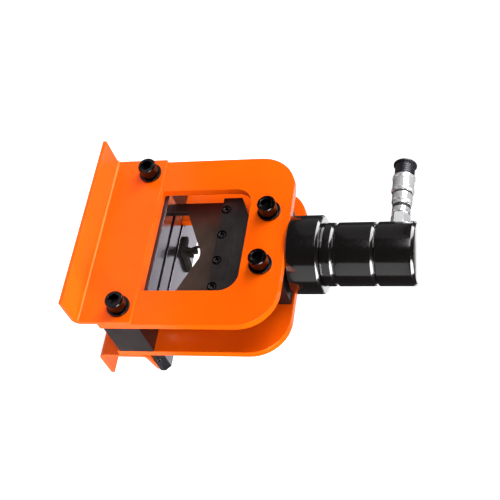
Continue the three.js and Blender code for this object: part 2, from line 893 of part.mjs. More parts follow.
function returnSpring() {
  const inner = rodRadius + springWireRadius;
  const meanRadius = (inner + boreRadius - springWireRadius) / 2;
  return coil('return_spring', meanRadius, springWireRadius, springCurls,
    springSeatTop + seatGap, pistonBottom - seatGap);
}

function buildCylinder() {
  place('head_block', headBlock(), darkSteel);
  place('cylinder_collar', cylinderCollar(), blackGloss);
  place('cylinder_barrel', cylinderBarrel(), blackGloss);
  place('end_cap', endCap(), blackGloss);
  const ringBore = rodRadius + runGap;
  const ringEdge = glandBoreRadius - seatGap;
  const bushBottom = noseBottom + wiperHeight + seatGap;
  const ring = (low, high) => tube(ringEdge, ringBore, low, high, rodSides);
  place('rod_wiper', ring(noseBottom, bushBottom - seatGap), rubber);
  place('gland_bush', ring(bushBottom, glandBushTop), bronze);
  place('rod_seal', ring(glandBushTop + seatGap, rodSealTop), rubber);
  place('spring_seat', tube(boreRadius - seatGap, rodRadius + seatGap,
    recessFloor + seatGap, springSeatTop, rodSides), groundSteel);
  place('return_spring', returnSpring(), blackOxide);
}

function portAdaptor() {
  const shank = pin(portRadius, adaptorShankReach, spotFaceReach + overrun);
  const hexagon = hexPrism(adaptorFlats, spotFaceReach + seatGap, adaptorReach - seatGap);
  const nose = pin(adaptorNoseRadius, adaptorReach - overrun, adaptorNoseReach);
  const bore = pin(adaptorBoreRadius, adaptorShankReach - overrun, adaptorNoseReach + overrun, smallSides);
  return cut(join(shank, hexagon, nose), bore);
}

function couplingBody() {
  const socketRadius = adaptorNoseRadius + seatGap;
  const grooveFloor = couplingWaistRadius - couplingGrooveDepth;
  const waistStart = adaptorReach + couplingEdge;
  const grooveMiddle = waistStart + (couplingRingReach - waistStart) * couplingGrooveShare;
  const grooveStart = grooveMiddle - couplingGrooveWidth / 2;
  const grooveEnd = grooveMiddle + couplingGrooveWidth / 2;
  return turned([
    [socketRadius, adaptorReach],
    [couplingWaistRadius - couplingEdge, adaptorReach],
    [couplingWaistRadius, waistStart],
    [couplingWaistRadius, grooveStart],
    [grooveFloor, grooveStart],
    [grooveFloor, grooveEnd],
    [couplingWaistRadius, grooveEnd],
    [couplingWaistRadius, couplingRingReach],
    [couplingRingRadius, couplingRingReach],
    [couplingRingRadius, sleeveStart - couplingEdge - seatGap],
    [couplingRingRadius - couplingEdge, sleeveStart - seatGap],
    [couplingNoseRadius, sleeveStart - seatGap],
    [couplingNoseRadius, couplingNoseReach],
    [couplingBoreRadius + runGap, couplingNoseReach],
    [couplingBoreRadius + runGap, poppetSpringReach],
    [adaptorBoreRadius, poppetSpringReach],
    [adaptorBoreRadius, adaptorNoseReach + seatGap],
    [socketRadius, adaptorNoseReach + seatGap],
  ], boltSides);
}

function screwSleeve() {
  const bandStart = sleeveStart + sleeveBandWidth;
  const bandEnd = sleeveEnd - sleeveBandWidth;
  return turned([
    [couplingNoseRadius + seatGap, sleeveStart],
    [sleeveRadius - couplingEdge, sleeveStart],
    [sleeveRadius, sleeveStart + couplingEdge],
    [sleeveRadius, bandStart],
    [sleeveRadius - sleeveBandDepth, bandStart + sleeveBandDepth],
    [sleeveRadius - sleeveBandDepth, bandEnd - sleeveBandDepth],
    [sleeveRadius, bandEnd],
    [sleeveRadius, sleeveEnd - couplingEdge],
    [sleeveRadius - couplingEdge, sleeveEnd],
    [sleeveBoreRadius + couplingEdge, sleeveEnd],
    [sleeveBoreRadius + couplingEdge, bandEnd],
    [couplingNoseRadius + seatGap, bandEnd],
  ], boltSides);
}

function poppet() {
  const tip = couplingNoseReach - poppetSet;
  const back = tip - poppetLength;
  return turned([
    [0, back - poppetLength],
    [poppetStemRadius, back - poppetLength],
    [poppetStemRadius, back],
    [poppetRadius, back],
    [poppetRadius, tip - poppetStemRadius],
    [poppetRadius - poppetStemRadius, tip],
    [0, tip],
  ], smallSides);
}

function poppetSpring() {
  const back = couplingNoseReach - poppetSet - poppetLength;
  const inner = poppetStemRadius + poppetSpringWireRadius;
  const meanRadius = (inner + couplingBoreRadius - poppetSpringWireRadius) / 2;
  return coil('poppet_spring', meanRadius, poppetSpringWireRadius, poppetSpringCurls,
    poppetSpringReach + seatGap, back - seatGap);
}

// Cap with a wide thin rim and raised rings for the fingers
function dustCap() {
  const bore = couplingNoseRadius + seatGap;
  const rimStart = capEnd - capRimWidth;
  const rimEdge = capRimWidth / 4;
  const ridgePitch = (rimStart - capStart) / (capRidges + 1);
  const ridges = Array.from({ length: capRidges }, (_, i) => {
    const middle = capStart + ridgePitch * (i + 1);
    return [
      [capCollarRadius, middle - capRidgeWidth / 2],
      [capCollarRadius + capRidgeHeight, middle - capRidgeWidth / 4],
      [capCollarRadius + capRidgeHeight, middle + capRidgeWidth / 4],
      [capCollarRadius, middle + capRidgeWidth / 2],
    ];
  });
  return turned([
    [bore, capStart],
    [capCollarRadius, capStart],
    ...ridges.flat(),
    [capCollarRadius, rimStart],
    [capRimRadius, rimStart],
    [capRimRadius, capEnd - rimEdge],
    [capRimRadius - rimEdge, capEnd],
    [0, capEnd],
    [0, capBoreReach],
    [bore, capBoreReach],
  ].reverse(), boltSides);
}

function buildCoupling() {
  const outwards = (geometry) => alongMinusX(geometry).translate(0, 0, portZ);
  place('port_adaptor', outwards(portAdaptor()), chromedSteel);
  place('coupling_body', outwards(couplingBody()), chromedSteel);
  place('screw_sleeve', outwards(screwSleeve()), chromedSteel);
  place('coupling_poppet', outwards(poppet()), groundSteel);
  place('poppet_spring', outwards(poppetSpring()), groundSteel);
  place('dust_cap', outwards(dustCap()), blackPlastic);
}

function workTable() {
  const half = tableLength / 2;
  const nearY = outerY + seatGap;
  const endView = outline([
    [-half, tableBottom],
    [half, tableBottom],
    [half, tableTop - tableEndChamfer],
    [half - tableEndChamfer, tableTop],
    [-half + tableEndChamfer, tableTop],
    [-half, tableTop - tableEndChamfer],
  ]);
  const slab = acrossY(endView, nearY, tableFarY);
  const halfTongue = windowWidth / 2 - windowLowerRadius - seatGap;
  const tongue = box([-halfTongue, halfTongue], [tableTongueY, nearY + overrun], [tableBottom, tableTop]);
  const screwHoles = bothSides(tableScrewSpacingX / 2).map((x) => (
    pin(smallScrewRadius + seatGap, tableBottom - overrun, tableTop - smallTipGap, smallSides)
      .translate(x, tableScrewY, 0)
  ));
  const studHole = pin(studRadius + seatGap, tableTop - studDepth - seatGap, tableTop + overrun)
    .translate(clampX, clampY, 0);
  const endHole = alongX(circle(endScrewRadius + seatGap), endScrewLength + endScrewSink + overrun)
    .translate(half + overrun - (endScrewLength + endScrewSink + overrun) / 2, endScrewY,
      tableTop - endScrewDrop);
  return cut(join(slab, tongue), ...screwHoles, studHole, endHole);
}

function circle(radius) {
  const shape = new THREE.Shape();
  shape.absarc(0, 0, radius, 0, Math.PI * 2, false);
  return shape;
}

function tableScrews() {
  const headSeat = backFootHeight - footThickness;
  const shankLength = tableTop - smallTipGap * 2 - headSeat;
  return bothSides(tableScrewSpacingX / 2).map((x) => (
    smallScrew(shankLength).rotateX(Math.PI).translate(x, tableScrewY, headSeat)
  ));
}

function endScrew() {
  const middleX = tableLength / 2 - endScrewSink - endScrewLength / 2;
  const barrel = alongX(circle(endScrewRadius), endScrewLength - seatGap);
  return barrel.translate(middleX, endScrewY, tableTop - endScrewDrop);
}

function buildTable() {
  place('work_table', workTable(), groundSteel);
  placeEach('table_screw', tableScrews(), blackOxide);
  place('table_end_screw', endScrew(), blackOxide);
}

// A flat bar of two arms round the stud: a short one with a round end and a long pointed one
function clampStrap() {
  const extruded = (shape, degrees) => {
    const settings = { depth: strapThickness, bevelEnabled: false, curveSegments: arcSteps / 2 };
    return new THREE.ExtrudeGeometry(shape, settings).rotateZ(THREE.MathUtils.degToRad(degrees));
  };
  const roundEnd = strapShortArm - strapHalfWidth;
  const short = outline([[0, strapHalfWidth], [0, -strapHalfWidth], [roundEnd, -strapHalfWidth]]);
  short.absarc(roundEnd, 0, strapHalfWidth, -Math.PI / 2, Math.PI / 2, false);
  const pointStart = strapLongArm - strapPointLength;
  const tipHalf = strapLongHalfWidth / 3;
  const long = outline([
    [0, -strapHalfWidth],
    [pointStart, -strapLongHalfWidth],
    [strapLongArm, -tipHalf],
    [strapLongArm, tipHalf],
    [pointStart, strapLongHalfWidth],
    [0, strapHalfWidth],
  ]);
  const boss = pin(strapPivotRadius, 0, strapThickness);
  const hole = pin(studRadius + boltPlay, -overrun, strapThickness + overrun, smallSides);
  const bar = join(boss, extruded(short, strapShortAngle), extruded(long, strapLongAngle));
  return cut(bar, hole);
}

function wingNut() {
  const hub = turned([
    [0, 0],
    [wingHubRadius, 0],
    [wingHubRadius - strapThickness / 4, wingHubHeight],
    [0, wingHubHeight],
  ], boltSides);
  const wing = new THREE.Shape();
  wing.moveTo(0, wingHubHeight / 4);
  wing.lineTo(wingHubRadius, wingHubHeight / 4);
  const tipX = wingReach - wingHubRadius / 2;
  wing.quadraticCurveTo(tipX, wingHubHeight / 2, wingReach, wingRise - wingHubHeight / 4);
  wing.quadraticCurveTo(wingReach - wingHubRadius / 4, wingRise, tipX, wingRise);
  wing.quadraticCurveTo(wingHubRadius + wingThickness, wingHubHeight, 0, wingHubHeight * 7 / 8);
  const half = wingThickness / 2;
  const right = acrossY(wing, -half, half);
  const left = right.clone().rotateZ(Math.PI);
  const hole = pin(studRadius + seatGap, -overrun, wingRise + overrun, smallSides);
  return cut(join(hub, right, left), hole).rotateZ(THREE.MathUtils.degToRad(wingAngle));
}

function buildClamp() {
  const onStud = (geometry, height) => geometry.translate(clampX, clampY, height);
  const stud = pin(studRadius, tableTop - studDepth, studTop, smallSides);
  const washer = tube(clampWasherRadius, studRadius + seatGap, 0, clampWasherThickness, boltSides);
  place('clamp_stud', onStud(stud, 0), blackOxide);
  place('clamp_strap', onStud(clampStrap(), strapBottom), blackOxide);
  place('clamp_washer', onStud(washer, clampWasherBottom), blackOxide);
  place('wing_nut', onStud(wingNut(), wingNutBottom), blackOxide);
}

buildFrame();
buildLowerTool();
buildRam();
buildCylinder();
buildFasteners();
buildCoupling();
buildTable();
buildClamp();

// The origin lies on the floor under the middle of the whole machine
machine.position.set(
  (capEnd - plateWidth / 2) / 2,
  (outerY + footReach - tableFarY) / 2,
  0,
);

export default machine;
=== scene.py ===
import json
import math

import bmesh
import bpy
from mathutils import Matrix, Vector

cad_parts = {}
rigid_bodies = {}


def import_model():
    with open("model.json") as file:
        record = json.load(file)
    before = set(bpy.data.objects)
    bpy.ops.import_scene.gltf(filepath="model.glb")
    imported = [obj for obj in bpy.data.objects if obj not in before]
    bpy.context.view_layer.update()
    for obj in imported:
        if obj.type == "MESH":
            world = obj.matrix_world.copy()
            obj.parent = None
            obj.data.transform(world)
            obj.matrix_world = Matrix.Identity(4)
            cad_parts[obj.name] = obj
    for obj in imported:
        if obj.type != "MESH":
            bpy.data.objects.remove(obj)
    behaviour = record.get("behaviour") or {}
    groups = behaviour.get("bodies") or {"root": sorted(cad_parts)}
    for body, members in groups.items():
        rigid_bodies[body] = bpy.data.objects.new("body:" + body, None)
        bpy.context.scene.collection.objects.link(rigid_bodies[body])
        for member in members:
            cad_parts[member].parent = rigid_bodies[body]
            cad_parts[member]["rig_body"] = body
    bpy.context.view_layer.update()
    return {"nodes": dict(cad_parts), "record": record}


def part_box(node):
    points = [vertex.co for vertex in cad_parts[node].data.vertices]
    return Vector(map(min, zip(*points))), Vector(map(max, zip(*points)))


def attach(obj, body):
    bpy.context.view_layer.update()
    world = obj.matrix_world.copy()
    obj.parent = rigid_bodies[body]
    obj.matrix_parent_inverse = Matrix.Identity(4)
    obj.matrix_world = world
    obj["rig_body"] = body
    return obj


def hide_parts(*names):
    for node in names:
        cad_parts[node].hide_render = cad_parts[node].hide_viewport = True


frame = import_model()
nodes = frame["nodes"]

mm = 0.001


# Camera, standing and rolled as in the photo

photoView = {
    "right": (-0.147237, 0.250888, 0.956753),
    "up": (-0.839879, -0.542617, 0.013039),
    "back": (0.522422, -0.801637, 0.290609),
    "place": (0.723158, -1.114766, 0.602070),
    "sensor": 36,
    "lens": 77.526,
}


def addCamera():
    data = bpy.data.cameras.new("camera")
    data.sensor_width = photoView["sensor"]
    data.lens = photoView["lens"]
    camera = bpy.data.objects.new("camera", data)
    aim = Matrix([photoView[side] for side in ("right", "up", "back")]).transposed().to_4x4()
    camera.matrix_world = Matrix.Translation(photoView["place"]) @ aim
    bpy.context.scene.collection.objects.link(camera)
    bpy.context.scene.camera = camera


# Materials

enamelLook = {"specular": 0.5, "coatRoughness": 0.06, "clouds": 14, "dust": 320, "spread": 0.12,
              "peel": 420, "peelDepth": 0.0002}
metalLook = {"coatRoughness": 0.1, "patches": 26, "lineDepth": 0.0001}
blackLook = {"patches": 90, "spread": 0.15, "bump": 0.15, "bumpDepth": 0.0001}


def startMaterial(name):
    material = bpy.data.materials.new(name)
    material.use_nodes = True
    tree = material.node_tree
    shader = tree.nodes["Principled BSDF"]
    return material, tree, shader


def setShader(shader, **values):
    names = {
        "color": "Base Color", "metallic": "Metallic", "roughness": "Roughness",
        "coat": "Coat Weight", "coatRoughness": "Coat Roughness", "specular": "Specular IOR Level",
        "tint": "Specular Tint", "glowColor": "Emission Color", "glow": "Emission Strength",
    }
    for key, value in values.items():
        shader.inputs[names[key]].default_value = value


def objectPoints(tree, stretch=(1, 1, 1)):
    coords = tree.nodes.new("ShaderNodeTexCoord")
    mapping = tree.nodes.new("ShaderNodeMapping")
    mapping.inputs["Scale"].default_value = stretch
    tree.links.new(coords.outputs["Object"], mapping.inputs["Vector"])
    return mapping.outputs["Vector"]


def noise(tree, points, scale, detail=3, roughness=0.5):
    node = tree.nodes.new("ShaderNodeTexNoise")
    node.inputs["Scale"].default_value = scale
    node.inputs["Detail"].default_value = detail
    node.inputs["Roughness"].default_value = roughness
    tree.links.new(points, node.inputs["Vector"])
    return node.outputs["Fac"]


def ramp(tree, value, low, high, start=0.3, end=0.7):
    node = tree.nodes.new("ShaderNodeValToRGB")
    first, last = node.color_ramp.elements
    first.position, last.position = start, end
    first.color = (*low, 1)
    last.color = (*high, 1)
    tree.links.new(value, node.inputs["Fac"])
    return node.outputs["Color"]


def grayRamp(tree, value, low, high):
    return ramp(tree, value, (low, low, low), (high, high, high))


def bump(tree, height, strength, distance):
    node = tree.nodes.new("ShaderNodeBump")
    node.inputs["Strength"].default_value = strength
    node.inputs["Distance"].default_value = distance
    tree.links.new(height, node.inputs["Height"])
    return node.outputs["Normal"]


def enamel(name, low, high, roughness, coat, peel, tint=(1, 1, 1, 1)):
    # Sprayed paint: slightly cloudy, with fine dust in its gloss and a faint orange-peel skin
    look = enamelLook
    material, tree, shader = startMaterial(name)
    setShader(shader, coat=coat, coatRoughness=look["coatRoughness"], specular=look["specular"],
              tint=tint)
    points = objectPoints(tree)
    clouds = noise(tree, points, look["clouds"], detail=4)
    tree.links.new(ramp(tree, clouds, low, high), shader.inputs["Base Color"])
    dust = noise(tree, points, look["dust"], roughness=0.6)
    gloss = grayRamp(tree, dust, roughness, roughness + look["spread"])
    tree.links.new(gloss, shader.inputs["Roughness"])
    skin = noise(tree, points, look["peel"], detail=2)
    tree.links.new(bump(tree, skin, peel, look["peelDepth"]), shader.inputs["Normal"])
    return material


def metal(name, low, high, roughness, stretch, grain, depth=0.12, spread=0.14, coat=0.0, metallic=1.0):
    # Machined metal: fine tool lines along the cut, and soft patches of colour
    look = metalLook
    material, tree, shader = startMaterial(name)
    setShader(shader, metallic=metallic, coat=coat, coatRoughness=look["coatRoughness"])
    lines = noise(tree, objectPoints(tree, stretch), grain, detail=4, roughness=0.65)
    patches = noise(tree, objectPoints(tree), look["patches"])
    tree.links.new(ramp(tree, patches, low, high, start=0.25, end=0.75), shader.inputs["Base Color"])
    tree.links.new(grayRamp(tree, lines, roughness, roughness + spread), shader.inputs["Roughness"])
    tree.links.new(bump(tree, lines, depth, look["lineDepth"]), shader.inputs["Normal"])
    return material


def softBlack(name, low, high, roughness, grain, specular=0.4):
    # Rubber, plastic or dull black, with a fine grain
    look = blackLook
    material, tree, shader = startMaterial(name)
    setShader(shader, specular=specular)
    points = objectPoints(tree)
    patches = noise(tree, points, look["patches"])
    tree.links.new(ramp(tree, patches, low, high), shader.inputs["Base Color"])
    texture = noise(tree, points, grain, detail=2)
    gloss = grayRamp(tree, texture, roughness, roughness + look["spread"])
    tree.links.new(gloss, shader.inputs["Roughness"])
    tree.links.new(bump(tree, texture, look["bump"], look["bumpDepth"]), shader.inputs["Normal"])
    return material


paints = {
    "orange_paint": enamel("orange_paint", (0.92, 0.1, 0.0008), (0.95, 0.116, 0.001),
                           roughness=0.15, coat=0.0, peel=0.04, tint=(1, 0.66, 0.34, 1)),
    "gloss_black": enamel("gloss_black", (0.0022, 0.0015, 0.0015), (0.004, 0.0028, 0.0028),
                          roughness=0.13, coat=0.9, peel=0.015),
    "dark_steel": metal("dark_steel", (0.042, 0.036, 0.037), (0.075, 0.067, 0.068),
                        roughness=0.34, stretch=(1, 9, 9), grain=60),
    "ground_steel": metal("ground_steel", (0.36, 0.33, 0.39), (0.44, 0.41, 0.48),
                          roughness=0.18, stretch=(1, 14, 14), grain=70, depth=0.02, spread=0.08),
    "tool_steel": metal("tool_steel", (0.085, 0.06, 0.048), (0.14, 0.1, 0.082),
                        roughness=0.3, stretch=(1, 12, 12), grain=60),
    "plain_steel": metal("plain_steel", (0.5, 0.5, 0.52), (0.6, 0.6, 0.62),
                         roughness=0.22, stretch=(1, 1, 9), grain=60),
    "spring_steel": metal("spring_steel", (0.16, 0.16, 0.18), (0.25, 0.25, 0.27),
                          roughness=0.3, stretch=(1, 1, 1), grain=200),
    "chrome": metal("chrome", (0.8, 0.8, 0.82), (0.86, 0.86, 0.88),
                    roughness=0.06, stretch=(1, 1, 8), grain=80, depth=0.03, spread=0.05),
    "zinc_plate": metal("zinc_plate", (0.8, 0.8, 0.82), (0.92, 0.92, 0.93), roughness=0.13,
                        stretch=(9, 1, 1), grain=90, depth=0.04, spread=0.08, metallic=0.66),
    "bronze": metal("bronze", (0.55, 0.34, 0.14), (0.68, 0.45, 0.2),
                    roughness=0.28, stretch=(1, 1, 8), grain=70),
    "rubber": softBlack("rubber", (0.014, 0.014, 0.014), (0.028, 0.027, 0.027),
                        roughness=0.55, grain=500),
    "black_plastic": softBlack("black_plastic", (0.008, 0.007, 0.012), (0.014, 0.012, 0.02),
                               roughness=0.26, grain=380, specular=0.6),
    "black_oxide": metal("black_oxide", (0.02, 0.018, 0.021), (0.04, 0.036, 0.04), roughness=0.14,
                         stretch=(1, 1, 1), grain=160, depth=0.08, coat=0.06),
}

finishOf = {row["node"]: row["material_slot"] for row in frame["record"]["subparts"]}

# Pieces whose finish looks a little different from the rest of their slot
ownPaints = {
    name: softBlack(name + "_black", (0.009, 0.007, 0.005), (0.016, 0.013, 0.01),
                    roughness=0.5, grain=260, specular=0.15)
    for name in ("clamp_strap", "clamp_stud", "clamp_washer", "wing_nut")
}
ownPaints["lower_block"] = metal("block_steel", (0.042, 0.03, 0.031), (0.074, 0.054, 0.055),
                                 roughness=0.34, stretch=(1, 9, 9), grain=60)
ownPaints["port_adaptor"] = metal("bright_zinc", (0.84, 0.85, 0.87), (0.94, 0.94, 0.95), roughness=0.1,
                                  stretch=(9, 1, 1), grain=90, depth=0.04, spread=0.06, metallic=0.45)


def paintOf(node):
    return ownPaints.get(node, paints[finishOf[node]])


for name, node in nodes.items():
    node.data.materials.clear()
    node.data.materials.append(paintOf(name))


# Making pieces

sharpAngle = 35  # degrees past which an edge of a turned piece stays sharp
dressing = {"merge": 0.004, "flat": 0.4, "segments": 3, "angle": 31}
corner = {"steps": 3, "share": 0.45, "straight": 2.9, "shortest": 1e-6}  # straight is in radians
poleMerge = 0.0001  # millimetres


def makeMesh(name, bm):
    data = bpy.data.meshes.new(name)
    bmesh.ops.recalc_face_normals(bm, faces=bm.faces[:])
    bm.to_mesh(data)
    bm.free()
    return data


def smoothFaces(data, angle):
    for face in data.polygons:
        face.use_smooth = True
    data.set_sharp_from_angle(angle=math.radians(angle))


def addPiece(name, bm, node, smoothAngle=sharpAngle):
    # A new piece in the row frame that moves with a CAD node
    data = makeMesh(name, bm)
    smoothFaces(data, smoothAngle)
    piece = bpy.data.objects.new(name, data)
    bpy.context.scene.collection.objects.link(piece)
    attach(piece, nodes[node]["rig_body"])
    return piece


def finishPiece(name, bm, node, smoothAngle=sharpAngle):
    # A new piece that stands for a CAD node
    piece = addPiece(name, bm, node, smoothAngle)
    piece.data.materials.append(paintOf(node))
    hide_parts(node)
    return piece


def dress(node, width, angle=dressing["angle"]):
    # A copy of a CAD node with its corners merged and its edges broken
    bm = bmesh.new()
    bm.from_mesh(nodes[node].data)
    bmesh.ops.remove_doubles(bm, verts=bm.verts[:], dist=dressing["merge"] * mm)
    bmesh.ops.dissolve_limit(bm, angle_limit=math.radians(dressing["flat"]), verts=bm.verts[:],
                             edges=bm.edges[:])
    piece = finishPiece(node + "_dressed", bm, node, dressing["angle"])
    edges = piece.modifiers.new("edges", "BEVEL")
    edges.width = width * mm
    edges.segments = dressing["segments"]
    edges.limit_method = "ANGLE"
    edges.angle_limit = math.radians(angle)
    return piece


def hexagon(flats):
    # Radius of a hexagon at any angle about its axis
    return lambda angle: flats / 2 / math.cos(angle % (math.pi / 3) - math.pi / 6)


def knurl(radius, count, depth):
    # Radius of a straight knurl at any angle about its axis
    return lambda angle: radius - depth * abs((angle * count / (2 * math.pi)) % 1 * 2 - 1)


def within(shape, limit):
    return lambda angle: min(shape(angle), limit)


def rounded(profile, radius):
    # A closed profile of [radius, height] points with its plain corners rounded
    out = []
    count = len(profile)
    for i, (r, h) in enumerate(profile):
        before, after = profile[i - 1], profile[(i + 1) % count]
        if callable(r) or r == 0 or callable(before[0]) or callable(after[0]):
            out.append((r, h))
            continue
        here = Vector((r, h))
        a = Vector((before[0] - r, before[1] - h))
        b = Vector((after[0] - r, after[1] - h))
        if min(a.length, b.length) < corner["shortest"] or a.angle(b) > corner["straight"]:
            out.append((r, h))
            continue
        reach = min(radius, a.length * corner["share"], b.length * corner["share"])
        start = here + a.normalized() * reach
        end = here + b.normalized() * reach
        for k in range(corner["steps"] + 1):
            t = k / corner["steps"]
            point = start * (1 - t) ** 2 + here * 2 * t * (1 - t) + end * t ** 2
            out.append((point.x, point.y))
    return out


def turn(profile, place, sides=96):
    # [radius, height] points in millimetres spun about +Z and placed; a radius may depend on the angle
    bm = bmesh.new()
    row = bm.verts.layers.int.new("row")
    outline = []
    for index, (radius, height) in enumerate(profile):
        reach = radius(0) if callable(radius) else radius
        vert = bm.verts.new((reach * mm, 0, height * mm))
        vert[row] = index
        outline.append(vert)
    edges = [bm.edges.new(pair) for pair in zip(outline, outline[1:])]
    if profile[0][0] != 0:
        edges.append(bm.edges.new((outline[-1], outline[0])))
    bmesh.ops.spin(bm, geom=outline + edges, cent=(0, 0, 0), axis=(0, 0, 1), angle=2 * math.pi,
                   steps=sides, use_merge=True)
    for vert in bm.verts:
        radius = profile[vert[row]][0]
        if callable(radius):
            angle = math.atan2(vert.co.y, vert.co.x) % (2 * math.pi)
            reach = radius(angle) * mm
            vert.co.x, vert.co.y = reach * math.cos(angle), reach * math.sin(angle)
    poles = [vert for vert in bm.verts if profile[vert[row]][0] == 0]
    bmesh.ops.remove_doubles(bm, verts=poles, dist=poleMerge * mm)
    bm.verts.layers.int.remove(row)
    bmesh.ops.transform(bm, matrix=place, verts=bm.verts[:])
    return bm


def middle(node):
    low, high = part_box(node)
    return (low + high) / 2


def upright(x, y, z=0):
    return Matrix.Translation((x, y, z))


def facingFront(x, y, z):
    # Turned pieces whose axis points towards -Y
    return Matrix.Translation((x, y, z)) @ Matrix(((1, 0, 0), (0, 0, -1), (0, 1, 0))).to_4x4()


def facingSide(x, y, z):
    # Turned pieces whose axis points towards -X
    return Matrix.Translation((x, y, z)) @ Matrix(((0, 0, -1), (0, 1, 0), (1, 0, 0))).to_4x4()


def facingDown(x, y, z):
    return Matrix.Translation((x, y, z)) @ Matrix.Rotation(math.pi, 4, "X")


# Plates, feet, blocks and blades

edgeWidths = {
    "front_plate": 1.2, "back_plate": 1.2, "front_foot": 1, "back_foot": 0.9,
    "lower_block": 0.4, "fixed_blade_front": 0.1, "fixed_blade_back": 0.1,
    "moving_blade": 0.3, "blade_holder": 0.5, "head_block": 0.6, "work_table": 0.25,
    "clamp_strap": 0.7,
}

dressed = {name: dress(name, width) for name, width in edgeWidths.items()}

# The table's two sawn ends, chamfers included, get a rougher grain and a much darker colour than its
# ground faces; the darker colour is painted shade on those ends
sawnShadedFacing = 0.6
sawnShadedSteel = metal("sawn_shaded_steel", (0.05, 0.05, 0.06), (0.09, 0.09, 0.105), roughness=0.36,
                  stretch=(1, 1, 9), grain=90, depth=0.2)
dressed["work_table"].data.materials.append(sawnShadedSteel)
for face in dressed["work_table"].data.polygons:
    if abs(face.normal.x) > sawnShadedFacing:
        face.material_index = 1
print("stage: plates and blocks")


# Hydraulic cylinder

axis = middle("cylinder_collar")
port = middle("port_adaptor")
cylinderPlace = upright(axis.x, axis.y)
cylinder = {"rounding": 0.35, "sides": 128}


def turnCylinder(profile):
    return turn(rounded(profile, cylinder["rounding"]), cylinderPlace, cylinder["sides"])


collar = {"bore": 22.3, "nose": 26, "radius": 50, "under": 1.7, "edge": 3, "step": 2,
          "recess": 36.3, "floor": 27.5, "flange": 41.1}
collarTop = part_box("cylinder_collar")[1].z / mm
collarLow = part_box("cylinder_collar")[0].z / mm
collarProfile = [
    (collar["bore"], collarLow),
    (collar["nose"], collarLow),
    (collar["nose"], collarTop - collar["flange"]),
    (collar["radius"] - collar["under"], collarTop - collar["flange"]),
    (collar["radius"], collarTop - collar["flange"] + collar["under"]),
    (collar["radius"], collarTop - collar["edge"]),
    (collar["radius"] - collar["step"], collarTop),
    (collar["recess"], collarTop),
    (collar["recess"], collarTop - collar["floor"]),
    (collar["bore"], collarTop - collar["floor"]),
]
finishPiece("collar_turned", turnCylinder(collarProfile), "cylinder_collar")

barrel = {"bore": 30, "spigot": 36, "radius": 40.2, "chamfer": 38.5, "groove": 37.5, "capSpigot": 35,
          "seat": 81.9, "neckEdge": 69.7, "neckTop": 66.7, "bodyStart": 64.1,
          "rise": 0.8, "bodyEdge": 19.4, "bodyTop": 16.1, "seam": 15.2}
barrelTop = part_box("cylinder_barrel")[1].z / mm
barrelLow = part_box("cylinder_barrel")[0].z / mm
barrelProfile = [
    (barrel["bore"], barrelLow),
    (barrel["spigot"], barrelLow),
    (barrel["spigot"], barrelTop - barrel["seat"]),
    (barrel["radius"], barrelTop - barrel["seat"]),
    (barrel["radius"], barrelTop - barrel["neckEdge"]),
    (barrel["chamfer"], barrelTop - barrel["neckTop"]),
    (barrel["groove"], barrelTop - barrel["neckTop"]),
    (barrel["groove"], barrelTop - barrel["bodyStart"]),
    (barrel["radius"], barrelTop - barrel["bodyStart"] + barrel["rise"]),
    (barrel["radius"], barrelTop - barrel["bodyEdge"]),
    (barrel["chamfer"], barrelTop - barrel["bodyTop"]),
    (barrel["groove"], barrelTop - barrel["bodyTop"]),
    (barrel["groove"], barrelTop - barrel["seam"]),
    (barrel["capSpigot"], barrelTop - barrel["seam"]),
    (barrel["capSpigot"], barrelTop),
    (barrel["bore"], barrelTop),
]
finishPiece("barrel_turned", turnCylinder(barrelProfile), "cylinder_barrel")

endCap = {"spigot": 35.3, "groove": 37.5, "radius": 40.2, "chamfer": 38.5, "crown": 37.7, "bore": 30,
          "start": 47.8, "rise": 0.8, "edge": 4, "shoulder": 0.8, "chamber": 17.5, "ledge": 33.5,
          "spotRadius": 14, "spotReach": 39, "spotEnd": 44, "portRadius": 6.8, "portStart": 25,
          "portSides": 64}
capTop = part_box("end_cap")[1].z / mm
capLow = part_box("end_cap")[0].z / mm
endCapProfile = [
    (0, capTop - endCap["chamber"]),
    (endCap["bore"], capTop - endCap["chamber"]),
    (endCap["bore"], capTop - endCap["ledge"]),
    (endCap["spigot"], capTop - endCap["ledge"]),
    (endCap["spigot"], capLow),
    (endCap["groove"], capLow),
    (endCap["groove"], capTop - endCap["start"]),
    (endCap["radius"], capTop - endCap["start"] + endCap["rise"]),
    (endCap["radius"], capTop - endCap["edge"]),
    (endCap["chamfer"], capTop - endCap["shoulder"]),
    (endCap["crown"], capTop),
    (0, capTop),
]
endCapPiece = finishPiece("end_cap_turned", turnCylinder(endCapProfile), "end_cap")


def cutSpotFace(piece):
    # The flat seat and the port hole that the hose adaptor screws into
    profile = [
        (0, endCap["portStart"]),
        (endCap["portRadius"], endCap["portStart"]),
        (endCap["portRadius"], endCap["spotReach"]),
        (endCap["spotRadius"], endCap["spotReach"]),
        (endCap["spotRadius"], endCap["spotEnd"]),
        (0, endCap["spotEnd"]),
    ]
    bm = turn(profile, facingSide(axis.x, axis.y, port.z), endCap["portSides"])
    cutter = bpy.data.objects.new("spot_cutter", makeMesh("spot_cutter", bm))
    bpy.context.scene.collection.objects.link(cutter)
    hole = piece.modifiers.new("hole", "BOOLEAN")
    hole.object = cutter
    hole.operation = "DIFFERENCE"
    hole.solver = "EXACT"
    bpy.context.view_layer.update()
    depsgraph = bpy.context.evaluated_depsgraph_get()
    cutMesh = bpy.data.meshes.new_from_object(piece.evaluated_get(depsgraph))
    piece.modifiers.clear()
    piece.data = cutMesh
    smoothFaces(cutMesh, sharpAngle)
    bpy.data.objects.remove(cutter)


cutSpotFace(endCapPiece)

